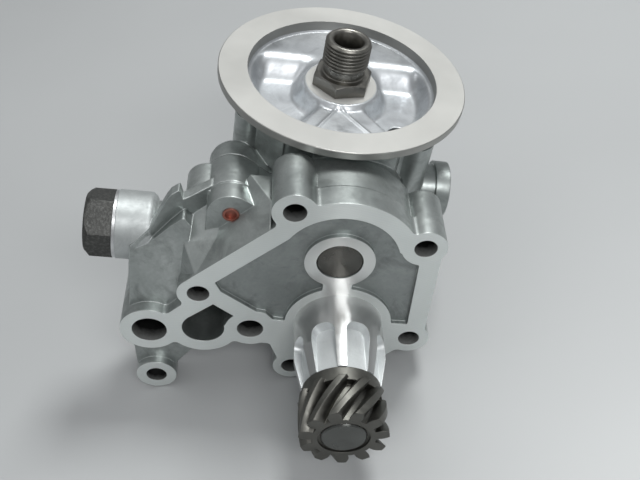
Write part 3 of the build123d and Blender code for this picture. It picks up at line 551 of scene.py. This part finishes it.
def soft_filter_head():
    """The CAD head with its recess faces swapped for the softened casting."""
    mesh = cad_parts["filter_head"].data.copy()
    mesh.name = "filter_head_cast"
    bm = bmesh.new()
    bm.from_mesh(mesh)
    axis = Vector(FILTER)
    drill = axis + Vector(DRILL[:2]) * MM

    def off_drill(vert):
        return abs((vert.co.xy - drill).length / MM - DRILL[2])

    doomed = []
    for face in bm.faces:
        spans = [(v.co.xy - axis).length / MM for v in face.verts]
        heights = [v.co.z / MM for v in face.verts]
        in_ring = min(spans) > BOSS_RADIUS - 0.05 and max(spans) < BOWL_RADIUS + 0.05
        in_height = min(heights) > BOWL_FLOOR - POCKET_DEPTH - 0.1 and max(heights) < BOSS_TOP + 0.06
        on_drill = max(off_drill(v) for v in face.verts) <= 0.05
        if in_ring and in_height and face.normal.z > -0.5 and not on_drill:
            doomed.append(face)
    bmesh.ops.delete(bm, geom=doomed, context="FACES")
    verts, faces = bowl_lining()
    made = [bm.verts.new((v[0] * MM + FILTER[0], v[1] * MM + FILTER[1], v[2] * MM)) for v in verts]
    fresh = []
    for quad in faces:
        face = bm.faces.new([made[i] for i in quad])
        face.smooth = True
        face.material_index = HEAD_BOWL
        fresh.append(face)
    bmesh.ops.delete(bm, geom=[v for v in made if not v.link_faces], context="VERTS")
    rim_edges = [e for face in fresh for e in face.edges
                 if len(e.link_faces) == 1 and all(off_drill(v) < 0.3 for v in e.verts)]
    lip = bmesh.ops.extrude_edge_only(bm, edges=rim_edges)["geom"]
    for item in lip:
        if isinstance(item, bmesh.types.BMVert):
            item.co.z = DRILL_FOOT * MM
            item.co.xy = drill + (item.co.xy - drill).normalized() * (DRILL[2] - 0.03) * MM
        if isinstance(item, bmesh.types.BMFace):
            item.material_index = HEAD_BOWL
    bm.to_mesh(mesh)
    bm.free()
    obj = bpy.data.objects.new("filter_head_cast", mesh)
    bpy.context.scene.collection.objects.link(obj)
    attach(obj, "housing")
    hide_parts("filter_head")


soft_filter_head()


# --- filter stud with its thread ---------------------------------------------------------

def loft_rings(name, rows, steps, material):
    """A closed surface of revolution from rows of (radius at an angle, z at an angle)."""
    verts = []
    for radius, height in rows:
        for i in range(steps):
            a = 2 * pi * i / steps
            verts.append((radius(a) * cos(a) * MM, radius(a) * sin(a) * MM, height(a) * MM))
    faces = []
    count = len(rows)
    for j in range(count):
        k = (j + 1) % count
        for i in range(steps):
            h = (i + 1) % steps
            faces.append((j * steps + i, j * steps + h, k * steps + h, k * steps + i))
    mesh = bpy.data.meshes.new(name)
    mesh.from_pydata(verts, [], faces)
    mesh.materials.append(material)
    obj = bpy.data.objects.new(name, mesh)
    bpy.context.scene.collection.objects.link(obj)
    return obj


# The stud, millimetres: 3/4-16 thread, hexagon and plain neck.
STUD_SEAT = BOSS_TOP
HEX_TOP = 76.2
NECK_TOP = 80.0
STUD_TOP = 91.5
THREAD_MAJOR = 9.525
THREAD_PITCH = 1.5875
THREAD_DEPTH = 1.05
THREAD_ROWS = 12                        # rows of vertices for each pitch
STUD_BORE = 6.1
HEX_FLAT = 11.1                         # half across the flats
HEX_TURN = radians(15)
HEX_FOOT = 10.9                         # radius of the round face under the hexagon
HEX_CHAMFER_STEPS = 8
STUD_SIDES = 96


def threaded_stud():
    """Hollow stud with its hexagon collar and a helical thread."""
    def flat(value):
        return lambda a: value

    def hexagon(a):
        return HEX_FLAT / cos((a + HEX_TURN + pi / 6) % (pi / 3) - pi / 6)

    def cut(limit):
        return lambda a: min(hexagon(a), limit)

    def thread(z):
        def radius(a):
            phase = (z / THREAD_PITCH - a / (2 * pi)) % 1.0
            groove = min(1.0, max(0.0, (abs(2 * phase - 1) - 0.14) / 0.72))
            run_in = max(0.0, (z - NECK_TOP) / 1.2)
            run_out = max(0.0, (STUD_TOP - 0.5 - z) / 0.9)
            start_cone = THREAD_MAJOR - 1.15 + (STUD_TOP - z)
            end_cone = THREAD_MAJOR - 1.1 + (z - NECK_TOP) * 1.4
            cut_down = THREAD_MAJOR - THREAD_DEPTH * groove * min(1.0, run_in, run_out)
            return min(THREAD_MAJOR, start_cone, end_cone, cut_down)
        return radius

    rows = [(flat(STUD_BORE), flat(STUD_SEAT)), (cut(HEX_FOOT), flat(STUD_SEAT)),
            (hexagon, flat(STUD_SEAT + 0.35))]
    for i in range(HEX_CHAMFER_STEPS + 1):
        share = i / HEX_CHAMFER_STEPS
        rows.append((cut(12.9 - 2.1 * share), flat(HEX_TOP - 1.25 + 1.25 * share)))
    rows += [(flat(10.4), flat(HEX_TOP)), (flat(8.9), flat(HEX_TOP)), (flat(8.45), flat(HEX_TOP + 0.3)),
             (flat(8.35), flat(NECK_TOP - 0.3))]
    z = NECK_TOP
    while z < STUD_TOP:
        rows.append((thread(z), flat(z)))
        z += THREAD_PITCH / THREAD_ROWS
    rows += [(flat(THREAD_MAJOR - 1.3), flat(STUD_TOP)), (flat(STUD_BORE + 0.9), flat(STUD_TOP)),
             (flat(STUD_BORE), flat(STUD_TOP - 0.9))]
    stud = loft_rings("filter_stud_threaded", rows, STUD_SIDES, stud_steel)
    stud.location = (FILTER[0], FILTER[1], 0)
    for face in stud.data.polygons:
        face.use_smooth = face.center.z > (NECK_TOP - 0.2) * MM
    return stud


stud = threaded_stud()
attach(stud, "housing")
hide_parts("filter_stud")


# --- relief spring, copied from the CAD coil -----------------------------------------

cad_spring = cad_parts["relief_spring"]
spring = bpy.data.objects.new("relief_spring_coil", cad_spring.data.copy())
spring.matrix_world = cad_spring.matrix_world
bpy.context.scene.collection.objects.link(spring)
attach(spring, "housing")
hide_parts("relief_spring")
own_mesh(spring)


# --- floor, light and camera ----------------------------------------------------------------

TABLE_TILT = radians(16.3)              # the part rests on its foot, its bottom lug and its right leg
TABLE_POINT = (-0.0137, 0, -0.0389)
TABLE_RADIUS = 0.75
TABLE_STEPS = 96
TABLE_COLOUR = (0.455, 0.465, 0.47)


def floor_material():
    s = Shader("pale_table")
    s.set(Roughness=0.42)
    cloud = s.noise(6, 2, 0.5)
    base = s.mix(s.remap(cloud, 0.3, 0.7, 0, 1), TABLE_COLOUR, shade(TABLE_COLOUR, 0.95))
    s.link(base, s.bsdf.inputs["Base Color"])
    return s.mat


def table():
    """A round table top, tilted as the part lies on it."""
    mesh = bpy.data.meshes.new("table")
    turns = [2 * pi * i / TABLE_STEPS for i in range(TABLE_STEPS)]
    edge = [(TABLE_RADIUS * cos(a), TABLE_RADIUS * sin(a), 0) for a in turns]
    mesh.from_pydata(edge, [], [tuple(range(TABLE_STEPS))])
    mesh.materials.append(floor_material())
    obj = bpy.data.objects.new("table", mesh)
    obj.location = TABLE_POINT
    obj.rotation_euler = (0, -TABLE_TILT, 0)
    bpy.context.scene.collection.objects.link(obj)


def area_light(name, location, target, size, power, colour=(1, 1, 1)):
    """A rectangular lamp that looks at its target."""
    data = bpy.data.lights.new(name, "AREA")
    data.shape = "RECTANGLE"
    data.size, data.size_y = size
    data.energy = power
    data.color = colour
    obj = bpy.data.objects.new(name, data)
    obj.location = location
    direction = Vector(target) - Vector(location)
    obj.rotation_euler = direction.to_track_quat("-Z", "Y").to_euler()
    bpy.context.scene.collection.objects.link(obj)


table()
area_light("key", (0.07, 0.36, 1.04), (0, 0.03, 0.02), (0.26, 0.28), 7.2, (0.98, 1.0, 0.99))
area_light("left", (-0.80, 0.05, 0.85), (0, 0, 0.02), (0.5, 0.5), 1.0)
area_light("front", (0.10, -0.70, 0.92), (0, 0.0, 0.0), (0.5, 0.25), 4.5)

world = bpy.data.worlds.new("soft_room")
bpy.context.scene.world = world
world.use_nodes = True
tree = world.node_tree
background = tree.nodes["Background"]
background.inputs["Color"].default_value = (0.96, 0.985, 1.0, 1)
coords = tree.nodes.new("ShaderNodeTexCoord")
axes = tree.nodes.new("ShaderNodeSeparateXYZ")
ramp = tree.nodes.new("ShaderNodeMapRange")
for socket, value in (("From Min", -0.1), ("From Max", 0.85), ("To Min", 0.26), ("To Max", 0.42)):
    ramp.inputs[socket].default_value = value
tree.links.new(coords.outputs["Generated"], axes.inputs[0])
tree.links.new(axes.outputs["Z"], ramp.inputs["Value"])
tree.links.new(ramp.outputs["Result"], background.inputs["Strength"])

# The camera as it was fitted to the photograph.
CAMERA_PLACE = (-0.0542, -0.2317, 0.2783)
AZIMUTH = radians(-9.75)
ELEVATION = radians(44.33)
ROLL = radians(11.45)
SENSOR = 36.0                           # millimetres
LENS = 49.04

back = Vector((sin(AZIMUTH) * cos(ELEVATION), -cos(AZIMUTH) * cos(ELEVATION), sin(ELEVATION)))
level = Vector((cos(AZIMUTH), sin(AZIMUTH), 0))
upward = back.cross(level)
right = cos(ROLL) * level + sin(ROLL) * upward
up = -sin(ROLL) * level + cos(ROLL) * upward
camera = bpy.data.objects.new("camera", bpy.data.cameras.new("camera"))
bpy.context.scene.collection.objects.link(camera)
turn = Matrix((right, up, back)).transposed().to_4x4()
camera.matrix_world = Matrix.Translation(CAMERA_PLACE) @ turn
camera.data.sensor_width = SENSOR
camera.data.lens = LENS
camera.data.clip_start = 0.01
bpy.context.scene.camera = camera
bpy.context.scene.view_settings.view_transform = "Standard"
